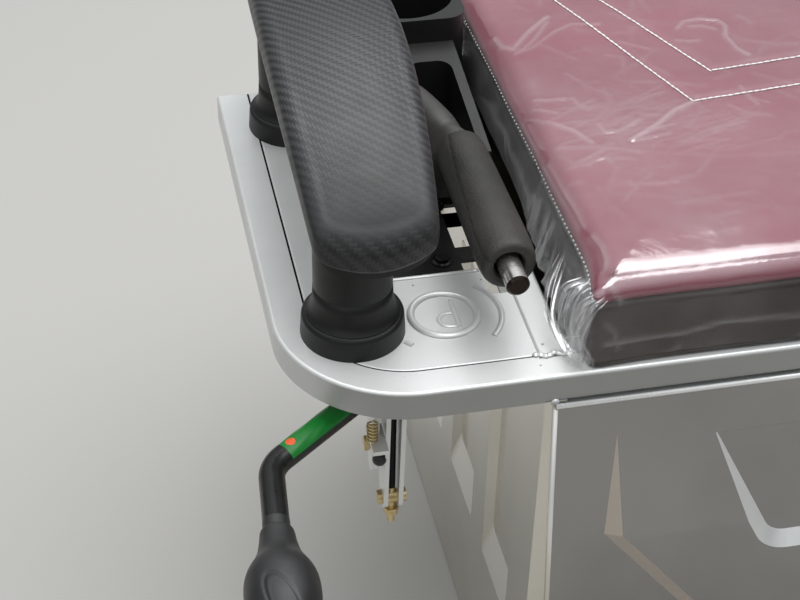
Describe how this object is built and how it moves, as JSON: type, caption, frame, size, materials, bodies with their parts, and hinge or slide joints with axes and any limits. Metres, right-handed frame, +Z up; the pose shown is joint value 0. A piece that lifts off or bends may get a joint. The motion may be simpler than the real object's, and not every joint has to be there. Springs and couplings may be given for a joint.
{
  "type": "cargo tricycle driver's seat unit",
  "caption": "Driver's seat unit of an electric cargo tricycle: lidded sheet-metal box with side trays, armrests, cup holder, parking brake lever and range lever.",
  "frame": {"origin": "centre of the seat box's footprint, on its bottom face, which bolts to the vehicle frame", "axes": "+Z up, -Y towards the front of the vehicle, -X towards the rider's right, with the two levers"},
  "size_m": [0.9122, 0.5387, 0.526],
  "materials": {
    "silver_paint": "semi-gloss, chipped and spattered at the edges",
    "pad_leather": "woven-grain black leather, semi-matte",
    "black_plastic": "fine-grained, matte, worn grey on its rims",
    "cushion_leather": "burgundy leather under loose clear film",
    "board_wood": "plain plywood",
    "buffer_rubber": "matte",
    "zinc_steel": "zinc plated, dull yellow",
    "black_steel": "black enamel, dusty",
    "pin_steel": "dull",
    "grip_foam": "soft matte grip with a moulding seam",
    "sleeve_rubber": "matte",
    "worn_chrome": "worn, rusty at the end edge",
    "knob_plastic": "soft black"
  },
  "bodies": {
    "seat_base": {"front_rail": "silver_paint", "rear_rail": "silver_paint", "side_rail_right": "silver_paint", "side_rail_left": "silver_paint", "base_frame": "silver_paint", "side_panel_right": "silver_paint", "side_panel_left": "silver_paint", "front_panel": "silver_paint", "rear_panel": "silver_paint", "tray_rim_right": "silver_paint", "tray_rim_left": "silver_paint", "tray_plate_right": "silver_paint", "tray_plate_left": "silver_paint", "range_bracket": "silver_paint", "armrest_pad_right": "pad_leather", "armrest_pad_left": "pad_leather", "armrest_shell_right": "black_plastic", "armrest_shell_left": "black_plastic", "armrest_post_front_right": "black_plastic", "armrest_post_front_left": "black_plastic", "armrest_post_rear_right": "black_plastic", "armrest_post_rear_left": "black_plastic", "console": "black_plastic", "seat_hinge_fixed": "zinc_steel", "seat_hinge_pins": "zinc_steel", "brake_bracket": "black_steel", "brake_pin": "pin_steel"},
    "brake_lever": {"brake_arm": "black_steel", "brake_sleeve": "sleeve_rubber", "brake_grip": "grip_foam", "brake_button": "worn_chrome"},
    "range_lever": {"range_rod": "black_steel", "range_knob": "knob_plastic", "range_crank": "silver_paint", "range_adjuster": "zinc_steel", "range_link": "silver_paint"},
    "seat": {"seat_cushion": "cushion_leather", "seat_board": "board_wood", "seat_buffers": "buffer_rubber", "seat_hinge_moving": "zinc_steel"}
  },
  "joints": [
    {"name": "brake_pull", "type": "hinge", "parent": "seat_base", "child": "brake_lever", "pos_m": [-0.3247, 0.055, 0.384], "axis": [-1, 0, 0], "range_deg": [0, 38]},
    {"name": "range_swing", "type": "hinge", "parent": "seat_base", "child": "range_lever", "pos_m": [-0.3624, -0.147, 0.334], "axis": [1, 0, 0], "range_deg": [0, 28]},
    {"name": "seat_lift", "type": "hinge", "parent": "seat_base", "child": "seat", "pos_m": [0, 0.1905, 0.3802], "axis": [-1, 0, 0], "range_deg": [0, 75]}
  ]
}
